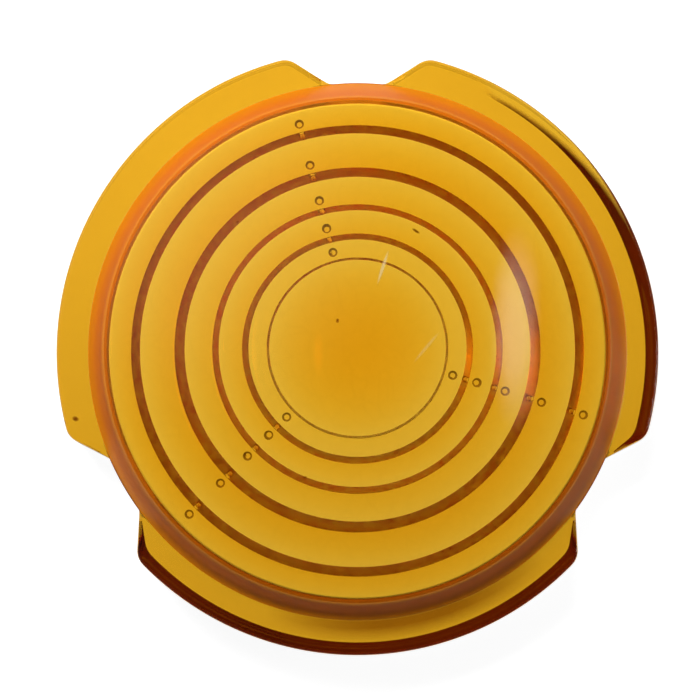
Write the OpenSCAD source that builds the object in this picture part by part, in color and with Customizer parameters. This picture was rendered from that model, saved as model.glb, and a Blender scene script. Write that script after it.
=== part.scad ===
// Raised pavement marker with a twist-off stepped lens.
// A base plate is bonded or bolted to the road. A holder carries the amber lens over
// a white reflector, and locks on the base plate's three pins with a twist.
// Origin: centre of the underside, on the pavement. +Z is up, +Y points at one flange notch.

/* [Lens outline] */
// Diameter over the three flange lobes
lens_d = 102; // [85:1:123]
// Width of the flange outside the skirt
flange_w = 5.8; // [4.9:0.1:7]
// Thickness of the flange
flange_t = 4.5; // [3.7:0.1:5.5]
// Half the angle of a notch at its bottom, in degrees
notch_root_a = 5.8; // [4.8:0.1:7]
// Half the angle of a notch at the rim, before its corners are rounded
notch_rim_a = 13.3; // [11:0.1:16]
// Radius of the lobe corners
corner_r = 3.4; // [2.5:0.1:4.1]
// Radius where a notch's sides meet its bottom
root_fillet = 2; // [1.6:0.1:2.4]

/* [Lens body] */
// Slope of the skirt, measured inwards
skirt_run = 2.9; // [2.4:0.1:3.5]
// Height of the skirt above the flange
skirt_rise = 3.8; // [3.1:0.1:4.6]
// Height of the dome above the skirt
dome_rise = 5.3; // [4.4:0.1:6.4]
// Wall of the skirt at its foot
skirt_wall = 3.2; // [2.7:0.1:3.8]
// Draft of the skirt's inner wall
skirt_draft = 0.2; // [0.2:0.1:0.4]

/* [Lens steps] */
// Thickness of the lens at its centre
centre_t = 5.8; // [4.8:0.1:7]
// Thickness at the outer edge of every optical zone
edge_t = 3.4; // [2.8:0.1:3.8]
// Diameter of a vent pip
pip_d = 1.5; // [1.2:0.1:1.8]
// Height of a vent pip
pip_h = 0.5; // [0.4:0.1:0.6]
// Distance from a step's crest to the vent pip outside it
pip_gap = 1.3; // [1.1:0.1:1.6]
// Direction of the first line of vent pips, in degrees
pip_a = 104.4; // [95:0.1:115]

/* [Holder] */
// How far the holder stays inside the lens outline
holder_inset = 0.6; // [0.5:0.1:0.8]
// Thinnest wall of the holder, at a notch
holder_wall = 1.6; // [1.3:0.1:1.9]
// Thickness of the holder's floor
floor_t = 2; // [1.7:0.1:2.4]
// Width of the holder's floor inside the bore
floor_w = 12; // [10:0.5:14]
// Gap between the holder and the pavement
road_gap = 1; // [0.8:0.1:1.2]
// Width of the sealant bead under the lens
bead_w = 1.6; // [1.3:0.1:1.9]
// Thickness of the sealant bead
bead_t = 1; // [0.8:0.1:1.2]
// Gap between the lens and the holder, filled by the bead alone
bond_gap = 0.2; // [0.15:0.05:0.3]

/* [Reflector] */
// Thickness of the reflector plate
plate_t = 2; // [1.8:0.1:2.4]
// Clearance round the reflector plate
plate_gap = 0.5; // [0.4:0.1:0.6]
// Height of the rim that centres the plate in the holder
spigot_h = 1.4; // [1.2:0.1:1.6]
// Wall of that rim
spigot_wall = 2; // [1.7:0.1:2.4]
// Thickness of the reflective sheet
sheet_t = 0.3; // [0.25:0.05:0.4]
// Border of the plate that the sheet leaves bare
sheet_border = 0.5; // [0.4:0.1:0.6]

/* [Reflector screws] */
// Thread diameter of a screw
screw_d = 2.5; // [2.1:0.1:3]
// Diameter of a countersunk head
head_d = 4.7; // [4:0.1:5.6]
// Height of a countersunk head
head_h = 1.3; // [1.1:0.1:1.5]
// Depth of thread in the reflector plate
thread_h = 1.5; // [1.3:0.1:1.6]

/* [Base] */
// Thickness of the base plate
base_t = 5; // [4.5:0.1:6]
// Clearance between the base plate and the holder's bore
turn_gap = 0.3; // [0.25:0.05:0.4]
// Height between the base plate and the holder's floor
lift_gap = 0.4; // [0.35:0.05:0.5]
// Thickness of the section of the base seal
seal_d = 1.5; // [1.3:0.1:1.8]
// Side clearance of the base seal in its groove
seal_gap = 0.2; // [0.15:0.05:0.3]
// Wall of the base plate outside the seal groove
rim_w = 1.6; // [1.3:0.1:1.9]
// Bolt circle of the anchor holes
anchor_pcd = 44; // [38:1:52]
// Diameter of an anchor hole
anchor_d = 5.5; // [4.6:0.1:6.6]
// Diameter of the recess for an anchor's head
anchor_head_d = 10.4; // [9:0.1:12.4]
// Material left under an anchor's head
anchor_seat_t = 2.4; // [2:0.1:2.9]

/* [Bayonet] */
// Diameter of a bayonet pin
pin_d = 2.4; // [2:0.1:2.9]
// Length of pin pressed into the base plate
pin_seat = 3.6; // [3:0.1:4.3]
// Length of pin that stands out of the base plate
pin_reach = 3.8; // [3.2:0.1:4.5]
// Height of the pins above the underside of the base plate
pin_up = 2.2; // [1.9:0.1:2.6]
// Clearance round a pin in its slot
slot_gap = 0.15; // [0.12:0.01:0.2]
// Turn between locked and free, in degrees
twist = 35; // [29:1:42]

/* [Adhesive pad] */
// Thickness of the pad
pad_t = 1.5; // [1.3:0.1:1.8]
// Border of the base plate that the pad leaves bare
pad_border = 0.7; // [0.6:0.1:0.9]
// Extra diameter of the pad's holes round the anchors
pad_hole_extra = 0.9; // [0.7:0.1:1.1]

/* [Hidden] */
$fn = 96;

lobes = 3;
cut = 1;            // how far a cutting tool runs past the surface it cuts
press = 0.01;       // radial squeeze of a pin or thread in its hole
seat_slack = 0.02;  // keeps a seal's round face off the flat that it meets
hole_slack = 0.15;  // radial clearance of a screw in the holder's floor
drive_af = 1.5;     // width across corners of a screw's drive
drive_h = 0.7;      // depth of a screw's drive
pip_root = 0.6;     // how far a vent pip runs into the lens
ledge = 0.1;        // width of flange left outside the skirt at the bottom of a notch

// Radii of the lens
lens_r = lens_d / 2;
root_r = lens_r - flange_w;
shoulder_r = root_r - skirt_run;
mouth_r = root_r - skirt_wall;
hollow_r = mouth_r - skirt_draft;

// Heights of the lens above its own underside, and the dome's sphere
shoulder_h = flange_t + skirt_rise;
lens_h = shoulder_h + dome_rise;
dome_r = (shoulder_r * shoulder_r + dome_rise * dome_rise) / (2 * dome_rise);

// Each optical step: where its crest stands as a share of the shoulder radius,
// the width of its sloping riser, and the lens's thickness at the crest
step_at = [0.3551, 0.4513, 0.5678, 0.7163, 0.8882];
step_w = [0.3, 1.1, 1.1, 1.7, 1.5];
crest_t = [3.9, 4.9, 4.9, 5.5, 5.3];
steps = len(step_at);

// Heights of the stack above the pavement
base_top = pad_t + base_t;
floor_z = base_top + lift_gap;
holder_top = floor_z + floor_t;
lens_z = holder_top + bond_gap;
plate_top = holder_top + plate_t;
pin_z = pad_t + pin_up;

// Radii of the holder, the reflector and the base plate
bore_r = root_r - holder_inset - holder_wall;
base_r = bore_r - turn_gap;
open_r = bore_r - floor_w;
bead_r = mouth_r + (root_r - mouth_r - holder_inset - bead_w) / 2;
plate_r = hollow_r - plate_gap;
screw_r = (open_r + plate_r) / 2;
groove_w = seal_d + 2 * seal_gap;
groove_h = seal_d + seat_slack - lift_gap;
groove_r = base_r - rim_w - groove_w / 2;

// The bayonet: where the pins stand, and the half angle that a pin takes in its slot
pin_a = 30 + twist / 2;
slot_h = pin_d + 2 * slot_gap;
slot_r = base_r + pin_reach + turn_gap;
slot_a = asin((pin_d / 2 + slot_gap) / bore_r);

// Height of the dome over the lens's underside at radius r
function dome_z(r) = lens_h - dome_r + sqrt(dome_r * dome_r - r * r);

// Radii of a step's crest and of the thin edge inside it
function crest_r(i) = step_at[i] * shoulder_r;
function thin_r(i) = crest_r(i) - step_w[i];

// The thin outer edge of the zone outside step i
function zone_end_r(i) = i < steps - 1 ? thin_r(i + 1) : hollow_r;

// Height of the back surface at radius r in the zone outside step i
function zone_z(i, r) =
    let (a = crest_r(i), b = zone_end_r(i))
    let (low = dome_z(a) - crest_t[i], high = dome_z(b) - edge_t)
    low + (high - low) * (r - a) / (b - a);

// Copies its children three times round Z, from angle a
module thrice(a = 0) {
    for (i = [0 : lobes - 1]) {
        rotate([0, 0, a + i * 360 / lobes]) children();
    }
}

// A flat ring between two radii
module washer(inner, outer, h) {
    rotate_extrude() translate([inner, 0]) square([outer - inner, h]);
}

// One sharp-cornered notch about +Y, with straight sides and a round bottom
module notch() {
    root = root_r * [sin(notch_root_a), cos(notch_root_a)];
    rim = lens_r * [sin(notch_rim_a), cos(notch_rim_a)];
    within = 2 * root - rim;
    beyond = 2 * rim - root;
    difference() {
        polygon([within, beyond, [-beyond.x, beyond.y], [-within.x, within.y]]);
        circle(r = root_r + ledge);
    }
}

// The outline that the lens and its holder share, with its corners and roots rounded
module lobed_outline(inset) {
    $fn = 180;
    offset(r = corner_r - inset) offset(delta = -corner_r)
        offset(r = -root_fillet) offset(delta = root_fillet)
            difference() {
                circle(r = lens_r);
                thrice() notch();
            }
}

// Half section of the skirt and dome above the flange
module lens_front() {
    intersection() {
        polygon([[0, flange_t], [root_r, flange_t], [shoulder_r, shoulder_h],
                 [shoulder_r, lens_h], [0, lens_h]]);
        translate([0, lens_h - dome_r]) circle(r = dome_r, $fn = 720);
    }
}

// Half section of the hollow: a drafted wall, the stepped zones and a convex centre
module lens_back() {
    eye_r = thin_r(0);
    eye_z = dome_z(eye_r) - edge_t;
    sag = eye_z - (lens_h - centre_t);
    bulge_r = (eye_r * eye_r + sag * sag) / (2 * sag);
    zones = [
        for (i = [steps - 1 : -1 : 0])
            for (r = [zone_end_r(i), crest_r(i)]) [r, zone_z(i, r)]
    ];
    difference() {
        polygon(concat([[0, -cut], [mouth_r, -cut], [mouth_r, 0]], zones,
                       [[eye_r, eye_z], [0, eye_z]]));
        translate([0, eye_z - sag + bulge_r]) circle(r = bulge_r, $fn = 360);
    }
}

module lens() {
    color("orange", 0.7) translate([0, 0, lens_z]) {
        difference() {
            union() {
                linear_extrude(flange_t) lobed_outline(0);
                rotate_extrude() lens_front();
            }
            rotate_extrude() lens_back();
        }
        thrice(pip_a) for (i = [0 : steps - 1]) {
            r = crest_r(i) + pip_gap;
            translate([r, 0, zone_z(i, r) - pip_h]) cylinder(d = pip_d, h = pip_h + pip_root);
        }
    }
}

module lens_seal() {
    color("whitesmoke") translate([0, 0, lens_z - bead_t]) washer(bead_r, bead_r + bead_w, bead_t);
}

module lens_holder() {
    color("white") difference() {
        translate([0, 0, road_gap]) linear_extrude(holder_top - road_gap) lobed_outline(holder_inset);
        cylinder(r = bore_r, h = floor_z);
        cylinder(r = open_r, h = holder_top + cut);
        translate([0, 0, lens_z - bead_t]) washer(bead_r, bead_r + bead_w, bead_t);
        thrice() translate([screw_r, 0, floor_z]) screw_hole();
        thrice(pin_a - twist - slot_a) bayonet_slot();
    }
}

// Clearance hole and countersink in the holder's floor
module screw_hole() {
    translate([0, 0, -cut]) cylinder(d = screw_d + 2 * hole_slack, h = floor_t + 2 * cut);
    cylinder(d1 = head_d + 2 * hole_slack, d2 = screw_d + 2 * hole_slack, h = head_h);
}

// A groove that runs up from the holder's lower face, then round to the locked place
module bayonet_slot() {
    low = pin_z - slot_h / 2;
    rotate_extrude(angle = twist + 2 * slot_a)
        translate([bore_r - cut, low]) square([slot_r - bore_r + cut, slot_h]);
    rotate_extrude(angle = 2 * slot_a)
        translate([bore_r - cut, 0]) square([slot_r - bore_r + cut, low + slot_h]);
}

module reflector_plate() {
    color("white") difference() {
        union() {
            translate([0, 0, holder_top]) cylinder(r = plate_r, h = plate_t);
            translate([0, 0, holder_top - spigot_h])
                washer(open_r - turn_gap - spigot_wall, open_r - turn_gap, spigot_h);
        }
        thrice() translate([screw_r, 0, holder_top - cut])
            cylinder(r = screw_d / 2 - press, h = thread_h + cut);
    }
}

module reflective_sheet() {
    color("white") translate([0, 0, plate_top]) cylinder(r = plate_r - sheet_border, h = sheet_t);
}

module reflector_screws() {
    color("silver") thrice() translate([screw_r, 0, floor_z]) difference() {
        union() {
            cylinder(d1 = head_d, d2 = screw_d, h = head_h);
            cylinder(d = screw_d, h = floor_t + thread_h);
        }
        translate([0, 0, -cut]) cylinder(d = drive_af, h = drive_h + cut, $fn = 6);
    }
}

module base_plate() {
    color("lightgray") difference() {
        translate([0, 0, pad_t]) cylinder(r = base_r, h = base_t);
        translate([0, 0, base_top - groove_h])
            washer(groove_r - groove_w / 2, groove_r + groove_w / 2, groove_h + cut);
        thrice(pin_a) translate([base_r - pin_seat, 0, pin_z])
            rotate([0, 90, 0]) cylinder(r = pin_d / 2 - press, h = pin_seat + cut);
        thrice() translate([0, anchor_pcd / 2, 0]) {
            cylinder(d = anchor_d, h = base_top + cut);
            translate([0, 0, pad_t + anchor_seat_t]) cylinder(d = anchor_head_d, h = base_t);
        }
    }
}

module bayonet_pins() {
    color("silver") thrice(pin_a) translate([base_r - pin_seat, 0, pin_z])
        rotate([0, 90, 0]) cylinder(d = pin_d, h = pin_seat + pin_reach);
}

module base_seal() {
    color("dimgray") translate([0, 0, base_top - groove_h + seal_d / 2])
        rotate_extrude() translate([groove_r, 0]) circle(d = seal_d);
}

module adhesive_pad() {
    color("#202020") difference() {
        cylinder(r = base_r - pad_border, h = pad_t);
        thrice() translate([0, anchor_pcd / 2, -cut])
            cylinder(d = anchor_d + pad_hole_extra, h = pad_t + 2 * cut);
    }
}

lens();
lens_seal();
lens_holder();
reflector_plate();
reflective_sheet();
reflector_screws();
base_plate();
bayonet_pins();
base_seal();
adhesive_pad();
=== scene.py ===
# %% [markdown]
# # A raised pavement marker with a stepped amber lens
#
# The marker is a shallow stack: a base plate on the road, a white holder that twists on to it, a
# white reflector inside, and on top a clear amber lens. Seen from above the lens is nearly all
# there is, so most of this lesson is about making one piece of coloured glass look right.

# %% Load the frame
from math import atan2, cos, hypot, pi, radians, sin, sqrt, tan

import bmesh
import bpy
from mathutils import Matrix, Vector


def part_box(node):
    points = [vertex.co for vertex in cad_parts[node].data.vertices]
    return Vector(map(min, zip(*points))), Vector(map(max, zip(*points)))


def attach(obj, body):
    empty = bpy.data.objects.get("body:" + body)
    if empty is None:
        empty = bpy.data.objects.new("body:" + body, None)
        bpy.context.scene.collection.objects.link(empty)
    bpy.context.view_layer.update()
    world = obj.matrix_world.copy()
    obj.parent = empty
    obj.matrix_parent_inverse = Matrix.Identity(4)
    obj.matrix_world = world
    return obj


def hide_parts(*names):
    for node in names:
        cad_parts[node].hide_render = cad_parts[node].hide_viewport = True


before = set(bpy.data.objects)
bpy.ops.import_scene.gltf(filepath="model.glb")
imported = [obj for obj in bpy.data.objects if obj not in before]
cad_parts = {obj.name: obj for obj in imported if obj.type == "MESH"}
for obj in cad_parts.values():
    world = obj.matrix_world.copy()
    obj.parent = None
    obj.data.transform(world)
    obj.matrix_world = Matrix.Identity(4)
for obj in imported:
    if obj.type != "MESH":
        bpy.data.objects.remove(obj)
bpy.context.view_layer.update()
print("nodes:", ", ".join(sorted(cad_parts)))

# %% [markdown]
# ## Sizes
#
# The construction model fixes the outside of every piece, so the lens's height, radius and place
# are read from its box. The rest of its section is written here once, in millimetres, because
# that is how a lens drawing is dimensioned. Everything is turned into metres on the way into a
# mesh.

# %% Sizes read from the frame
MM = 0.001
lens_low, lens_high = (Vector(corner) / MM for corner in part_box("lens"))
lens_r = -lens_low.y
lens_z = lens_low.z
lens_h = lens_high.z - lens_low.z
print(f"lens: radius {lens_r:.2f} mm, height {lens_h:.2f} mm, underside at {lens_z:.2f} mm")

# %% Sizes of the lens's body
flange_w = 5.8
flange_t = 4.5
skirt_run = 2.9
dome_rise = 5.3
skirt_wall = 3.2
skirt_draft = 0.2
centre_t = 5.8
edge_t = 3.4

root_r = lens_r - flange_w
shoulder_r = root_r - skirt_run
mouth_r = root_r - skirt_wall
hollow_r = mouth_r - skirt_draft
shoulder_h = lens_h - dome_rise
dome_r = (shoulder_r**2 + dome_rise**2) / (2 * dome_rise)
print(f"skirt from radius {root_r:.2f} to {shoulder_r:.2f} mm, dome radius {dome_r:.1f} mm")

# %% Sizes of the lens's steps, as shares of the shoulder's radius and in millimetres
step_at = (0.3551, 0.4513, 0.5678, 0.7163, 0.8882)
step_w = (0.45, 1.1, 1.1, 1.7, 1.5)
crest_t = (3.9, 4.9, 4.9, 5.5, 5.3)

# %% Sizes of the bevel under its rim, and of the corners' rounds
bevel_w = 2.1
bevel_h = 2.4
bevel_foot = 0.45
bevel_heel = 0.1
rim_round = 0.6
bevel_round = 0.3
shoulder_round = 0.35
root_round = 0.5
eye_round = 0.08
crisp = 0.12
print(f"{len(step_at)} steps, and a bevel {bevel_w} mm wide and {bevel_h} mm high")

# %% [markdown]
# ## The lens's section
#
# A moulded lens is a turned shape apart from its flange, so one half section spun round the axis
# makes nearly all of it. Real moulded corners are never sharp, and glass shows it: each corner
# catches a thin line of light. So the section is written as its sharp corners with a radius for
# each, and a helper rounds them. The optical zones on the back are gentle curves between the
# crests and the thin edges.

# %% Round the corners of a section
def rounded(corners, pieces=4):
    """The outline through (r, z, radius) corners, each replaced by an arc of that radius."""
    outline = []
    for k, (r, z, radius) in enumerate(corners):
        here = Vector((r, z))
        if radius == 0:
            outline.append(here)
            continue
        before = (Vector(corners[k - 1][:2]) - here).normalized()
        after = (Vector(corners[k + 1][:2]) - here).normalized()
        half = before.angle(after) / 2
        reach = radius / tan(half)
        centre = here + (before + after).normalized() * (radius / sin(half))
        start, end = here + before * reach, here + after * reach
        for n in range(pieces + 1):
            spoke = (start - centre).lerp(end - centre, n / pieces)
            outline.append(centre + spoke.normalized() * radius)
    return outline


# %% Curves of the dome and the middle disc
def curve(z_of, start, end, pieces):
    """Sharp points along a curve z_of(r), without its two ends."""
    steps = (start + (end - start) * n / pieces for n in range(1, pieces))
    return [(r, z_of(r), 0) for r in steps]


def dome_z(r):
    """Height of the dome above the lens's underside at radius r."""
    return lens_h - dome_r + sqrt(dome_r**2 - r**2)


eye_r = step_at[0] * shoulder_r - step_w[0]
eye_sag = dome_z(eye_r) - edge_t - (lens_h - centre_t)
bulge_r = (eye_r**2 + eye_sag**2) / (2 * eye_sag)


def eye_z(r):
    """Height of the bulging back of the middle disc."""
    return lens_h - centre_t + bulge_r - sqrt(bulge_r**2 - r**2)


print(f"middle disc: radius {eye_r:.1f} mm, bulging at a radius of {bulge_r:.0f} mm")


# %% Curves of the optical zones
def zone(k):
    """The back surface outside step k: inner radius, outer radius and its height as a function."""
    inner = step_at[k] * shoulder_r
    outer = step_at[k + 1] * shoulder_r - step_w[k + 1] if k + 1 < len(step_at) else hollow_r
    low, high = dome_z(inner) - crest_t[k], dome_z(outer) - edge_t

    def z_of(r):
        along = (r - inner) / (outer - inner)
        return low + (high - low) * along + (r - inner) * (r - outer) / (2 * bulge_r)

    return inner, outer, z_of


# %% Corners of the half section, from the top of the dome round to the middle of the back
satin_from = shoulder_r - 0.45
dome_pieces, bevel_pieces, zone_pieces, eye_pieces = 18, 6, 5, 6
front = [(0, lens_h, 0)] + curve(dome_z, 0, satin_from, dome_pieces)
front.append((satin_from, dome_z(satin_from), 0))
front += [(shoulder_r, shoulder_h, shoulder_round), (root_r, flange_t, root_round)]
rim = [(lens_r, flange_t, rim_round), (lens_r, bevel_h, bevel_round)]
for n in range(1, bevel_pieces + 1):
    bevel_r = lens_r - (bevel_w - bevel_foot) * n / bevel_pieces
    rim.append((bevel_r, bevel_h + (bevel_foot - bevel_h) * n / bevel_pieces, 0))
rim += [(lens_r - bevel_w, 0, 0), (lens_r - bevel_w - bevel_heel, 0, 0)]
back = [(mouth_r, 0, bevel_round)]
for k in reversed(range(len(step_at))):
    inner, outer, z_of = zone(k)
    back.append((outer, z_of(outer), crisp if k + 1 < len(step_at) else 0))
    back += curve(z_of, outer, inner, zone_pieces) + [(inner, z_of(inner), crisp)]
back += [(eye_r, eye_z(eye_r), eye_round)] + curve(eye_z, eye_r, 0, eye_pieces)
back.append((0, eye_z(0), 0))
section = rounded(front + rim + back)
print(f"half section: {len(section)} points")

# %% [markdown]
# ## The three lobes
#
# Only the flange isn't round. Its outline is a circle with three notches, each with straight
# sides, rounded outer corners and a round bottom on the skirt's foot. Seen from the axis that
# outline is a single distance for every direction, so the spun mesh can be given its notches by
# pulling the flange's vertices inwards to that distance. No cutting is needed and the mesh stays
# clean quads.

# %% Corners of a lobe
notch_root_a = radians(5.8)
notch_rim_a = radians(13.3)
corner_r = 3.4
ledge = 0.1
soft_root = 0.35

side_root = root_r * Vector((sin(notch_root_a), cos(notch_root_a)))
side_rim = lens_r * Vector((sin(notch_rim_a), cos(notch_rim_a)))
along = (side_rim - side_root).normalized()
away = Vector((along.y, -along.x))
track = side_root + away * corner_r
ahead = track.dot(along)
slide = -ahead + sqrt(ahead**2 - track.length_squared + (lens_r - corner_r) ** 2)
corner = track + along * slide
corner_start = corner - away * corner_r
corner_start_a = atan2(corner_start.x, corner_start.y)
corner_end_a = atan2(corner.x, corner.y)
print(f"half a notch, corners included: {corner_end_a / radians(1):.1f} degrees")


# %% The outline's radius in any direction
def outline_r(angle):
    """Distance from the axis to the lobed outline, in a direction given from +X."""
    off = abs((angle - radians(90) + radians(60)) % radians(120) - radians(60))
    ray = Vector((sin(off), cos(off)))
    if off >= corner_end_a:
        return lens_r
    if off >= corner_start_a:
        middle = corner.dot(ray)
        return middle + sqrt(middle**2 - corner.length_squared + corner_r**2)
    bottom = root_r + ledge
    slant = side_root.dot(away) / ray.dot(away) if ray.dot(away) < 0 else lens_r
    gap = slant - bottom
    return (slant + bottom + sqrt(gap**2 + soft_root**2)) / 2


# %% [markdown]
# ## The bevel under the rim
#
# The lower edge of the flange is bevelled along one side of the lens and square on the other.
# From above, a steep bevel in clear plastic is a mirror that throws the sight line sideways
# through the whole flange, so it shows as a dark red-brown band inside a thin bright edge.
# Here that band is painted shade: over the bevel the amber is painted dark red-brown and
# mostly opaque.
# Towards its start the bevel gets shallow and light passes straight through, and only the small
# step at its foot is left, as one thin dark line. Two shares between 0 and 1, taken from the
# direction, describe that: how large the whole bevel is, and how steep it is above its foot.

# %% How large and how steep the bevel is in any direction
bevel_middle_a = radians(-45)
least_foot = 0.2
least_climb = 0.1


def faded(angle, full_left, full_right, gone):
    """1 near the bevel's middle, falling to 0 at gone; the full part differs on its two sides."""
    off = (angle - bevel_middle_a + pi) % (2 * pi) - pi
    full = full_left if off > 0 else full_right
    fade = min(max((radians(gone) - abs(off)) / radians(gone - full), 0), 1)
    return fade * fade * (3 - 2 * fade)


def foot_share(angle):
    """How large the whole bevel is, its foot included."""
    return least_foot + (1 - least_foot) * faded(angle, 106, 104, 112)


def steep_share(angle):
    """How high the bevel climbs above its foot."""
    return faded(angle, 50, 96, 108)


# %% Spin the section
def spun(outline, steps):
    """A bmesh of the half outline, in mm, spun round Z into a closed skin."""
    bm = bmesh.new()
    verts = [bm.verts.new((p.x, 0, p.y)) for p in outline]
    edges = [bm.edges.new(pair) for pair in zip(verts, verts[1:])]
    bmesh.ops.spin(
        bm,
        geom=verts + edges,
        cent=(0, 0, 0),
        axis=(0, 0, 1),
        angle=2 * pi,
        steps=steps,
        use_merge=True,
    )
    bmesh.ops.remove_doubles(bm, verts=bm.verts, dist=1e-4)
    bmesh.ops.recalc_face_normals(bm, faces=bm.faces)
    return bm


# %% Pull the notches in and shape the bevel
squeeze = 0.4
hair = 0.01


def pull_notches(bm):
    """Moves the flange's vertices in to the lobed outline, keeping the round of its edge."""
    for v in bm.verts:
        r = hypot(v.co.x, v.co.y)
        if r <= root_r + hair or v.co.z > flange_t + hair:
            continue
        angle = atan2(v.co.y, v.co.x)
        edge = outline_r(angle) - squeeze * (v.co.x / r) ** 2
        if v.co.z < bevel_h + bevel_round and r > lens_r - bevel_w - hair:
            r_bevel = lens_r - (lens_r - r) * foot_share(angle)
            climb = least_climb + (1 - least_climb) * steep_share(angle)
            raised = min(v.co.z, bevel_foot) + max(v.co.z - bevel_foot, 0) * climb
            v.co.z = raised * foot_share(angle)
        else:
            r_bevel = r
        pulled = root_r + (r_bevel - root_r) * (edge - root_r) / (lens_r - root_r)
        v.co.xy *= pulled / r


# %% Mark what isn't polished, and how dark the bevel's band is painted
steep_normal = 0.85
front_skin, margin, wall_margin, slack = 1, 0.5, 0.2, 0.05
dark_from, dark_reach, dark_fade = 0.35, 0.9, 0.4


def mark(bm):
    """Writes down where the satin skirt and the rough risers are, and how dark the bevel's painted
    shade is.
    """
    skirt, riser = (bm.faces.layers.float.new(name) for name in ("skirt", "riser"))
    for face in bm.faces:
        middle = face.calc_center_median()
        r = hypot(middle.x, middle.y)
        on_back = r < hollow_r - margin and middle.z < dome_z(r) - front_skin
        steep = abs(face.normal.z) < steep_normal
        on_wall = steep and hollow_r - wall_margin < r < mouth_r + slack
        on_skirt = satin_from < r < root_r and middle.z > flange_t + slack
        face[skirt] = float(on_skirt or on_wall)
        face[riser] = float(on_back and steep and r > eye_r - margin)
    # Painted shade: how dark the bevel's band is painted, by its steepness and how far in it lies
    rim = bm.verts.layers.float.new("rim")
    for v in bm.verts:
        out = (hypot(v.co.x, v.co.y) - (lens_r - bevel_w)) / bevel_w
        if out > -hair and v.co.z < bevel_h + slack:
            angle = atan2(v.co.y, v.co.x)
            dark = (steep_share(angle) - dark_reach * out + dark_from) / dark_fade
            v[rim] = min(max(dark, 0), 1) * faded(angle, 104, 104, 110)


# %% Make the lens's body
lens_steps = 600
lens_bm = spun(section, lens_steps)
mark(lens_bm)
pull_notches(lens_bm)
print(f"lens: {len(lens_bm.faces)} faces")

# %% [markdown]
# ## Vent pips
#
# Where trapped air left the mould, the real lens has small pins of plastic on its back: three
# lines of five, each pin just outside a step, and a vent mark across the step beside it. A pin
# tapers, and its sloping side shows as a dark ring round a light middle; that ring is painted
# shade, as the side is marked to be painted dark. Each is a short cone from create_cone, and all
# of them are joined to the lens with one Boolean, so that the glass has one skin.

# %% A pin
pip_lines = [radians(a) for a in (104.4, 224.4, 343.9)]
pip_r, pip_h, pip_gap, pip_root, pip_tip_r = 0.76, 0.5, 1.3, 0.6, 0.44
vent_r, vent_tip_r, vent_root, vent_tip, vent_step_w = 0.6, 0.4, 2.2, 0.35, 1
pip_side_dark, vent_satin = 0.8, 0.7


def pin(bm, r, angle, root, tip, root_w, tip_w):
    """A cone with a flat end, from its wide root up in the glass down to its tip."""
    made = bmesh.ops.create_cone(
        bm, cap_ends=True, segments=32, radius1=tip_w, radius2=root_w, depth=root - tip
    )
    place = (r * cos(angle), r * sin(angle), (root + tip) / 2)
    bmesh.ops.translate(bm, verts=made["verts"], vec=place)
    return {face for v in made["verts"] for face in v.link_faces}


# %% All pins and vent marks, with the lens's own face layers so that the join keeps them
pins = bmesh.new()
pin_skirt = pins.faces.layers.float.new("skirt")
pins.faces.layers.float.new("riser")
pin_side = pins.faces.layers.float.new("side")
flare = (pip_r - pip_tip_r) / pip_h
for k in range(len(step_at)):
    inner, outer, z_of = zone(k)
    for angle in pip_lines:
        r = inner + pip_gap
        root, tip = z_of(r) + pip_root, z_of(r) - pip_h
        for face in pin(pins, r, angle, root, tip, pip_r + flare * pip_root, pip_tip_r):
            # Painted shade: a pin's sloping side is marked to be painted dark
            face[pin_side] = 0.0 if len(face.verts) > 4 else pip_side_dark
        if step_w[k] > vent_step_w:
            r, root, tip = inner - step_w[k] / 2, z_of(inner) + vent_root, z_of(inner) + vent_tip
            for face in pin(pins, r, angle, root, tip, vent_r, vent_tip_r):
                face[pin_skirt] = vent_satin
print(f"pins: {len(pins.faces)} faces")


# %% Turn a bmesh in millimetres into a piece
def piece(name, bm, place, material, body):
    """Makes an object from bm, raised to place, scaled to metres and riding on a body."""
    bmesh.ops.translate(bm, verts=bm.verts, vec=place)
    bmesh.ops.scale(bm, verts=bm.verts, vec=(MM, MM, MM))
    mesh = bpy.data.meshes.new(name)
    bm.to_mesh(mesh)
    bm.free()
    for face in mesh.polygons:
        face.use_smooth = True
    mesh.materials.append(material)
    made = bpy.data.objects.new(name, mesh)
    bpy.context.collection.objects.link(made)
    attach(made, body)
    print(f"{name}: {len(mesh.polygons)} faces on {body}")
    return made


# %% [markdown]
# ## A helper for materials
#
# Every finish here is a small graph of shader nodes. Written out in full, making, setting and
# linking each node takes many lines, so one helper does the three at once: an input given as a
# number is set, and one given as another node's output is linked. The nodes that come back most
# get a short helper of their own.

# %% Make a node, set it and link it
def node(tree, kind, inputs=None, **settings):
    """Adds a shader node with its settings, and fills its inputs with numbers or links."""
    made = tree.nodes.new("ShaderNode" + kind)
    for name, value in settings.items():
        setattr(made, name, value)
    for name, value in (inputs or {}).items():
        if isinstance(value, bpy.types.NodeSocket):
            tree.links.new(value, made.inputs[name])
        else:
            made.inputs[name].default_value = value
    return made


def maths(tree, operation, a, b=0.0, c=0.0):
    """The output of a Math node."""
    return node(tree, "Math", {0: a, 1: b, 2: c}, operation=operation).outputs[0]


def blend(tree, share, a, b):
    """The output of a colour Mix node that goes from a to b."""
    made = node(tree, "Mix", {"Factor": share}, data_type="RGBA")
    for name, value in (("A", a), ("B", b)):
        if isinstance(value, bpy.types.NodeSocket):
            tree.links.new(value, made.inputs[name])
        else:
            made.inputs[name].default_value = value
    return made.outputs["Result"]


def noise(tree, at, scale, detail):
    """The output of a Noise texture, a smooth cloud of numbers round a half."""
    inputs = {"Vector": at, "Scale": scale, "Detail": detail}
    return node(tree, "TexNoise", inputs).outputs["Fac"]


def ramp(tree, value, start, end, low=0.0, high=1.0, kind="LINEAR"):
    """The output of a Map Range node: low to high, as value goes from start to end."""
    inputs = {"Value": value, "From Min": start, "From Max": end, "To Min": low, "To Max": high}
    return node(tree, "MapRange", inputs, interpolation_type=kind).outputs["Result"]


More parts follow.
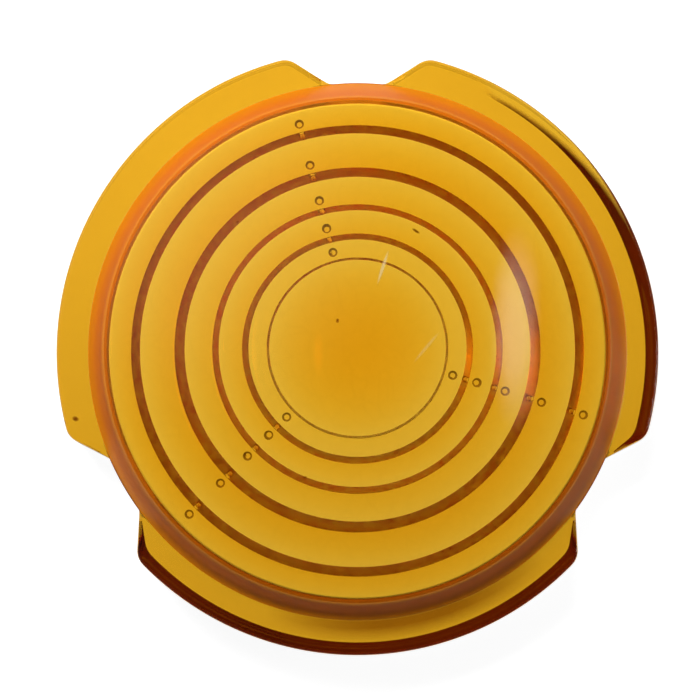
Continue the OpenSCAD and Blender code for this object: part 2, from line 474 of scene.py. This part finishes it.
def vector(tree, operation, a, b=(0, 0, 0)):
    """The output of a Vector Math node, a number for a length or a product and else a vector."""
    made = node(tree, "VectorMath", {0: a, 1: b}, operation=operation)
    return made.outputs["Value" if operation in ("LENGTH", "DOT_PRODUCT") else "Vector"]


def bump(tree, height, strength, distance):
    """The output of a Bump node, a surface raised by up to distance, in metres."""
    inputs = {"Height": height, "Strength": strength, "Distance": distance}
    return node(tree, "Bump", inputs).outputs["Normal"]


def skin(tree, inputs, volume=None):
    """Ends a material with a Principled surface and, in clear plastic, a volume."""
    outputs = {"Surface": node(tree, "BsdfPrincipled", inputs).outputs["BSDF"]}
    if volume:
        outputs["Volume"] = volume.outputs["Volume"]
    node(tree, "OutputMaterial", outputs)


def new_material(name):
    """An empty material and its node tree."""
    made = bpy.data.materials.new(name)
    made.use_nodes = True
    made.node_tree.nodes.clear()
    return made, made.node_tree


# %% [markdown]
# ## Amber plastic
#
# The colour of clear amber is in its depth: a thin stretch is yellow, a thick one orange, and a
# long way through it brown. So most of the colour is an absorbing volume that takes blue
# strongly, green weakly and red hardly at all, and the surface adds a light tint. That alone
# shades the middle disc from gold to yellow. The skirt is satin, as moulds leave a side that
# carries no light, and the risers between the steps are rougher still, which is why they look
# brown and even instead of sparkling.

# %% Patterns in the amber
amber, tree = new_material("amber plastic")
place = node(tree, "TexCoord").outputs["Object"]
skirt, riser, bevel_painted_shade, pin_painted_shade = (
    node(tree, "Attribute", attribute_name=name).outputs["Fac"]
    for name in ("skirt", "riser", "rim", "side")
)
# Painted shade, together: the bevel's dark band and the pins' dark rings
painted_edge_shade = maths(tree, "MAXIMUM", bevel_painted_shade, pin_painted_shade)
grain = noise(tree, place, 900.0, 4.0)
cloud = noise(tree, place, 45.0, 2.0)
ripple = noise(tree, place, 160.0, 1.0)

# %% Specks, and a soft ellipse in the view from above for everything longer
flat = vector(tree, "MULTIPLY", place, (1, 1, 0))
dust = node(tree, "TexVoronoi", {"Vector": flat, "Scale": 75.0}).outputs["Distance"]


def ellipse(x, y, length, width, turn):
    """1 inside an ellipse given by its middle and half sizes in mm, fading to 0 at its edge."""
    inputs = {
        "Vector": flat,
        "Location": (x * MM, y * MM, 0),
        "Rotation": (0, 0, radians(turn)),
        "Scale": (length * MM, width * MM, 1),
    }
    spot = node(tree, "Mapping", inputs, vector_type="TEXTURE").outputs["Vector"]
    return ramp(tree, vector(tree, "LENGTH", spot), 1.1, 0.6)


# %% Lay out the inclusions and two painted highlights, the second at half strength
speck_r, speck_strength = 0.011, 0.5
specks = maths(tree, "MULTIPLY", maths(tree, "LESS_THAN", dust, speck_r), speck_strength)
for inclusion in (
    (-3.3, 4.4, 0.3, 0.25, 0),
    (9.7, 19.4, 0.75, 0.2, -32),
    (-47.4, -11.4, 0.5, 0.4, 0),
    (-20.0, 21.0, 0.3, 0.15, 40),
    (-18.6, -17.8, 0.45, 0.15, -60),
    (-8.7, -21.6, 0.35, 0.2, 20),
):
    specks = maths(tree, "MAXIMUM", specks, ellipse(*inclusion))
# Two painted highlights: pale streaks painted on the lens, standing for reflections on the dome
long_painted_highlight = ellipse(4.2, 13.2, 2.9, 0.3, 72)
faint_painted_highlight = maths(tree, "MULTIPLY", ellipse(11.4, -0.1, 3.2, 0.28, 50), 0.5)
painted_highlights = maths(tree, "MAXIMUM", long_painted_highlight, faint_painted_highlight)

# %% A painted shadow at the foot of the skirt, on its front side
shadow_full_r, shadow_gone_r, shadow_overlap = 46.5, 48.6, 0.2
shadow_toward, shadow_strength = (0.2, -0.98, 0), 0.8
from_axis = vector(tree, "LENGTH", flat)
near_root = ramp(tree, from_axis, shadow_gone_r * MM, shadow_full_r * MM)
heading = vector(tree, "NORMALIZE", flat)
spread = ramp(tree, vector(tree, "DOT_PRODUCT", heading, shadow_toward), 0.86, 0.99)
outside = maths(tree, "GREATER_THAN", from_axis, (root_r - shadow_overlap) * MM)
painted_shadow = maths(tree, "MULTIPLY", near_root, spread)
painted_shadow = maths(tree, "MULTIPLY", painted_shadow, maths(tree, "MULTIPLY", outside, shadow_strength))

# %% The amber's colours
pale_gold, gold = (0.975, 0.835, 0.5, 1), (0.955, 0.8, 0.45, 1)
satin_orange = (0.78, 0.22, 0.0, 1)
# The dark red-brown of the painted shade on the bevel and the pins' sides
shade_near_black, shade_oxblood = (0.02, 0.003, 0.001, 1), (0.13, 0.016, 0.003, 1)
# The painted shadow's brown, a speck's colour, and the pale cream of the painted highlights
shadow_brown, soot_speck, highlight_cream = (0.4, 0.18, 0.02, 1), (0.22, 0.1, 0.02, 1), (0.9, 0.85, 0.7, 1)
tint = blend(tree, cloud, pale_gold, gold)
tint = blend(tree, skirt, tint, satin_orange)
# Painted shadow: the flange just outside the skirt's foot, on its front side, is painted brown
tint = blend(tree, painted_shadow, tint, shadow_brown)
# Painted shade: the bevel's band and the pins' sides are painted dark red-brown
tint = blend(tree, painted_edge_shade, tint, blend(tree, cloud, shade_near_black, shade_oxblood))
tint = blend(tree, specks, tint, soot_speck)
# Painted highlights: the two streaks are painted pale cream, and let less light through
tint = blend(tree, painted_highlights, tint, highlight_cream)

# %% Its clearness, which the skirt, the painted shade on the bevel and the pins' sides, and the painted highlights lower
skirt_loss, edge_shade_loss, highlight_loss = 0.3, 0.88, 0.22
clear = maths(tree, "MULTIPLY_ADD", skirt, -skirt_loss, 1.0)
kept = maths(tree, "MULTIPLY_ADD", painted_edge_shade, -edge_shade_loss, 1.0)
clear = maths(tree, "MULTIPLY", clear, kept)
clear = maths(tree, "MULTIPLY_ADD", painted_highlights, -highlight_loss, clear)

# %% Its roughness, on the polished zones, the satin skirt and the risers
polish_rough, polish_grain, skirt_rough = 0.025, 0.015, 0.32
riser_least, riser_grain = 0.12, 0.5
coarse = maths(tree, "MULTIPLY_ADD", grain, riser_grain, riser_least)
rough = maths(tree, "MULTIPLY_ADD", skirt, skirt_rough, polish_rough)
rough = maths(tree, "ADD", rough, maths(tree, "MULTIPLY", riser, coarse))
rough = maths(tree, "MULTIPLY_ADD", grain, polish_grain, rough)

# %% Put the amber together
surface = {
    "Base Color": tint,
    "Roughness": rough,
    "IOR": 1.5,
    "Transmission Weight": clear,
    "Normal": bump(tree, ripple, 0.6, 0.03 * MM),
}
depth = node(tree, "VolumeAbsorption", {"Color": (0.98, 0.827, 0.0, 1), "Density": 750.0})
skin(tree, surface, depth)
print("amber plastic:", len(tree.nodes), "nodes")

# %% [markdown]
# ## The lens
#
# The Boolean is made into plain mesh at once, so that no modifier has to cut the lens again in
# every render. Weighted normals then keep the big flat zones smooth right up to their small round
# corners. The lens casts no shadow of its own: light that reaches the white reflector through
# real clear plastic comes back through it, and letting lamps straight through gives the same
# brightness without the noise.

# %% Join the pins to the lens
lens = piece("amber_lens", lens_bm, (0, 0, lens_z), amber, "lens_unit")
cutter = piece("pins", pins, (0, 0, lens_z), amber, "lens_unit")
join = lens.modifiers.new("pins", "BOOLEAN")
join.operation, join.solver, join.object = "UNION", "EXACT", cutter
graph = bpy.context.evaluated_depsgraph_get()
solid = bpy.data.meshes.new_from_object(lens.evaluated_get(graph))
lens.modifiers.remove(join)
bpy.data.objects.remove(cutter)
lens.data = solid
solid.name = "amber_lens"
weights = lens.modifiers.new("even normals", "WEIGHTED_NORMAL")
weights.mode, weights.weight = "FACE_AREA", 80
print(f"lens with its pins: {len(solid.polygons)} faces")

# %% Show it instead of its construction solid
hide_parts("lens")
lens.visible_shadow = False
lens.visible_diffuse = False
print("amber_lens stands for the node lens")

# %% [markdown]
# ## Plastics and rubbers
#
# The pieces under the lens keep their construction shapes, which are already right, and only need
# a finish. Moulded plastic and rubber share one recipe: a colour that drifts a little between two
# shades, a roughness that drifts with it, and a fine grain in the surface left by the mould. What
# differs is how strong each is, so one function makes them all.

# %% A moulded finish
def moulded(name, shade, other_shade, roughness, spread, grain_mm, relief_mm):
    """A plastic or rubber whose colour and gloss drift, with a fine moulded grain."""
    made, tree = new_material(name)
    place = node(tree, "TexCoord").outputs["Object"]
    drift = noise(tree, place, 60.0, 5.0)
    fine = noise(tree, place, 1 / (grain_mm * MM), 3.0)
    surface = {
        "Base Color": blend(tree, drift, (*shade, 1), (*other_shade, 1)),
        "Roughness": maths(tree, "MULTIPLY_ADD", fine, spread, roughness - spread / 2),
        "Normal": bump(tree, fine, 0.5, relief_mm * MM),
    }
    skin(tree, surface)
    print(f"{name}: roughness about {roughness}")
    return made


# %% The plastics
warm_white, warm_shade = (0.92, 0.92, 0.9), (0.88, 0.88, 0.86)
clean_white, clean_shade = (0.93, 0.93, 0.92), (0.9, 0.9, 0.89)
holder_white = moulded("satin white plastic", warm_white, warm_shade, 0.42, 0.14, 0.25, 0.01)
mirror_white = moulded("smooth white plastic", clean_white, clean_shade, 0.25, 0.06, 0.6, 0.003)

# %% The rubbers
milk, soot, soot_shade = (0.93, 0.93, 0.91), (0.035, 0.035, 0.035), (0.06, 0.058, 0.055)
tar, tar_shade = (0.03, 0.03, 0.032), (0.055, 0.052, 0.05)
silicone = moulded("milky silicone", milk, warm_shade, 0.3, 0.12, 0.8, 0.02)
rubber = moulded("black rubber", soot, soot_shade, 0.55, 0.2, 0.3, 0.015)
butyl = moulded("tacky butyl", tar, tar_shade, 0.62, 0.35, 1.2, 0.06)

# %% [markdown]
# ## Glass-filled plastic
#
# The base plate takes the load of every wheel, so on a real marker it is plastic filled with
# short glass fibres. They show at the surface as pale flecks on grey. A noise stretched along one
# direction makes flecks, and a threshold keeps only its peaks.

# %% The base plate's finish
base_grey, tree = new_material("glass-filled grey plastic")
place = node(tree, "TexCoord").outputs["Object"]
stretch = {"Vector": place, "Scale": (4000.0, 700.0, 2000.0), "Rotation": (0, 0, 0.6)}
fibre = noise(tree, node(tree, "Mapping", stretch).outputs["Vector"], 1.0, 2.0)
fleck = ramp(tree, fibre, 0.58, 0.72)
ground = blend(tree, noise(tree, place, 50.0, 4.0), (0.8, 0.8, 0.78, 1), (0.72, 0.72, 0.7, 1))
surface = {
    "Base Color": blend(tree, fleck, ground, (0.9, 0.9, 0.89, 1)),
    "Roughness": maths(tree, "MULTIPLY_ADD", fleck, -0.15, 0.6),
    "Normal": bump(tree, fibre, 0.4, 0.01 * MM),
}
skin(tree, surface)
print("glass-filled grey plastic:", len(tree.nodes), "nodes")

# %% [markdown]
# ## Retroreflective sheet
#
# White sheeting is a layer of tiny prisms in small sealed cells. At arm's length it is plain
# white with a faint net, so a Voronoi pattern darkens only the thin walls between its cells, and
# only slightly.

# %% The sheet's finish
sheeting, tree = new_material("white prismatic sheet")
place = node(tree, "TexCoord").outputs["Object"]
cells = node(tree, "TexVoronoi", {"Vector": place, "Scale": 380.0}, feature="DISTANCE_TO_EDGE")
wall = ramp(tree, cells.outputs["Distance"], 0.09, 0.02)
net = maths(tree, "MULTIPLY", wall, 0.25)
face = blend(tree, noise(tree, place, 80.0, 2.0), (0.95, 0.95, 0.95, 1), (0.93, 0.93, 0.93, 1))
surface = {
    "Base Color": blend(tree, net, face, (0.86, 0.86, 0.86, 1)),
    "Roughness": maths(tree, "MULTIPLY_ADD", wall, 0.2, 0.4),
}
skin(tree, surface)
print("white prismatic sheet:", len(tree.nodes), "nodes")

# %% [markdown]
# ## Stainless steel
#
# The pins and screws are turned, which leaves fine rings round them. At this size the rings are
# too fine to model, so a noise squeezed hard along Z stripes the roughness and the surface's
# relief.

# %% The steel
steel, tree = new_material("turned stainless steel")
place = node(tree, "TexCoord").outputs["Object"]
rings = node(tree, "Mapping", {"Vector": place, "Scale": (600.0, 600.0, 9000.0)}).outputs["Vector"]
lines = noise(tree, rings, 1.0, 3.0)
surface = {
    "Base Color": blend(tree, lines, (0.68, 0.68, 0.67, 1), (0.58, 0.58, 0.58, 1)),
    "Metallic": 1.0,
    "Roughness": maths(tree, "MULTIPLY_ADD", lines, 0.2, 0.2),
    "Normal": bump(tree, lines, 0.3, 0.01 * MM),
}
skin(tree, surface)
print("turned stainless steel:", len(tree.nodes), "nodes")

# %% [markdown]
# ## Dress the construction pieces
#
# A construction mesh is made of flat triangles. Marking it smooth, with a sharp edge wherever two
# faces meet at more than 30 degrees, rounds its curved sides and keeps its corners.

# %% Give each piece its finish
finishes = {
    "lens_seal": silicone,
    "lens_holder": holder_white,
    "reflector_plate": mirror_white,
    "reflective_sheet": sheeting,
    "reflector_screws": steel,
    "base_plate": base_grey,
    "bayonet_pins": steel,
    "base_seal": rubber,
    "adhesive_pad": butyl,
}
for name, material in finishes.items():
    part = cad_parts[name]
    for held in part.material_slots:
        held.material = material
    for polygon in part.data.polygons:
        polygon.use_smooth = True
    part.data.set_sharp_from_angle(angle=radians(30))
    print(f"{name}: {material.name}")

# %% [markdown]
# ## The floor
#
# A pale matt table top. A lift is added for the rays that come straight from the camera, and a
# smaller one for those that come off or through something shiny, so that the table reads as clean
# white everywhere while the marker still keeps a faint shadow on it. The table only exists from
# above: its underside is clear and it blocks no light, so that the marker can be looked at from
# below as well. It lies a twentieth of a millimetre under the marker, because two faces in one
# plane can't both be drawn.

# %% The floor's finish
table, tree = new_material("white table")
path = node(tree, "LightPath").outputs
off_shiny = maths(tree, "MAXIMUM", path["Is Glossy Ray"], path["Is Transmission Ray"])
camera_lift, shiny_lift = 0.88, 0.12
lift = maths(tree, "MULTIPLY", path["Is Camera Ray"], camera_lift)
lift = maths(tree, "MULTIPLY_ADD", off_shiny, shiny_lift, lift)
matt = node(tree, "BsdfDiffuse", {"Color": (0.5, 0.5, 0.5, 1)})
glow = node(tree, "Emission", {"Strength": lift})
both = node(tree, "AddShader", {0: matt.outputs[0], 1: glow.outputs[0]})
from_below = node(tree, "NewGeometry").outputs["Backfacing"]
nothing = node(tree, "BsdfTransparent")
one_sided = node(tree, "MixShader", {0: from_below, 1: both.outputs[0], 2: nothing.outputs[0]})
node(tree, "OutputMaterial", {"Surface": one_sided.outputs[0]})
print("white table:", len(tree.nodes), "nodes")

# %% The floor
floor_half, floor_drop = 140, 0.05
floor_bm = bmesh.new()
bmesh.ops.create_grid(floor_bm, x_segments=1, y_segments=1, size=floor_half * MM)
bmesh.ops.translate(floor_bm, verts=floor_bm.verts, vec=(0, 0, -floor_drop * MM))
floor_mesh = bpy.data.meshes.new("floor")
floor_bm.to_mesh(floor_mesh)
floor_bm.free()
floor_mesh.materials.append(table)
floor = bpy.data.objects.new("floor", floor_mesh)
bpy.context.collection.objects.link(floor)
floor.visible_diffuse = False
floor.visible_shadow = False
print(f"floor: {2 * floor_half} mm wide")

# %% [markdown]
# ## The room
#
# Clear plastic shows its surroundings more than itself. The room is pale but dim low down,
# brighter behind the marker than in front, and dark overhead, where the camera hangs. That
# dimness is what the steps and the rim pick up as brown. Two soft lights are painted into it: a
# wide one high on the left, which lays a faint veil on that side of the dome, and a narrow window
# on the right, which makes the pale upright streak. From below comes the glow that a white table
# throws up at whatever stands on it. The camera itself sees plain white past the table's edge.

# %% A soft patch in the room
room = bpy.data.worlds.new("room")
bpy.context.scene.world = room
room.use_nodes = True
tree = room.node_tree
tree.nodes.clear()
direction = node(tree, "TexCoord").outputs["Generated"]


def patch_of_light(toward, stretch, strength):
    """A soft round or oval patch of light in the room, in the direction toward."""
    offset = vector(tree, "SUBTRACT", direction, toward)
    reach = vector(tree, "LENGTH", vector(tree, "MULTIPLY", offset, stretch))
    return ramp(tree, reach, 1.2, 0.2, 0.0, strength, "SMOOTHSTEP")


# %% The room's light
veil = patch_of_light((-0.36, 0.33, 0.87), (2.4, 2.4, 2.4), 0.44)
window = patch_of_light((0.345, 0.12, 0.93), (20.0, 5.0, 1.7), 3.2)
behind = vector(tree, "DOT_PRODUCT", direction, (-0.35, 0.93, 0.0))
low = ramp(tree, behind, -0.8, 0.7, 0.065, 0.24, "SMOOTHSTEP")
height = node(tree, "SeparateXYZ", {0: direction}).outputs["Z"]
overhead = ramp(tree, height, 0.6, 0.82, 1.0, 0.06, "SMOOTHSTEP")
table_bounce = ramp(tree, height, -0.05, -0.4, 0.0, 0.25, "SMOOTHSTEP")
lights = maths(tree, "ADD", maths(tree, "ADD", veil, window), table_bounce)
total = maths(tree, "MULTIPLY_ADD", low, overhead, lights)

# %% Plain white for the camera, that light for everything else
to_camera = node(tree, "LightPath").outputs["Is Camera Ray"]
choice = {"Factor": to_camera, "A": total, "B": 1.0}
strength = node(tree, "Mix", choice, data_type="FLOAT").outputs["Result"]
sky = node(tree, "Background", {"Color": (1, 1, 1, 1), "Strength": strength})
node(tree, "OutputWorld", {"Surface": sky.outputs[0]})
print("room:", len(tree.nodes), "nodes")

# %% [markdown]
# ## The lamps
#
# One soft lamp stands close behind the marker, a little to the left. Being close, it is clearly
# brighter on the near side, which gives the amber its fall from light to dark. It isn't seen in
# reflections, because a hard square in the dome would hide the steps. A second, weak lamp stands
# low on the right and is only there for the orange glints that the right-hand risers catch.

# %% Lamps
def softbox(name, toward, distance, size, watts):
    """A square area lamp that looks at the marker from the direction toward."""
    data = bpy.data.lights.new(name, "AREA")
    data.shape, data.size, data.energy = "SQUARE", size, watts
    lamp = bpy.data.objects.new(name, data)
    lamp.location = Vector(toward).normalized() * distance
    lamp.rotation_euler = (-lamp.location).to_track_quat("-Z", "Y").to_euler()
    bpy.context.collection.objects.link(lamp)
    print(f"{name}: {watts} W")
    return lamp


key = softbox("key", (-0.3, 0.72, 0.62), distance=0.38, size=0.3, watts=2.1)
key.visible_glossy = False
key.visible_transmission = False
softbox("glint", (0.9, -0.05, 0.3), distance=0.4, size=0.12, watts=0.2)

# %% [markdown]
# ## The camera
#
# It hangs 60 cm above the marker and leans 4 degrees back from straight down, which is why the
# skirt shows wider at the front than behind. The lens is long, so that the rings stay round.

# %% Camera
target = Vector((-0.00125, 0.0001, 0.0135))
lean, away_m, focal_mm = radians(4.4), 0.6, 183.7
camera_data = bpy.data.cameras.new("camera")
camera_data.lens = focal_mm
camera = bpy.data.objects.new("camera", camera_data)
camera.location = target + Vector((0, -sin(lean), cos(lean))) * away_m
camera.rotation_euler = (lean, 0, 0)
bpy.context.collection.objects.link(camera)
bpy.context.scene.camera = camera
bpy.context.scene.view_settings.view_transform = "Standard"
print(f"camera: {away_m} m from the marker")
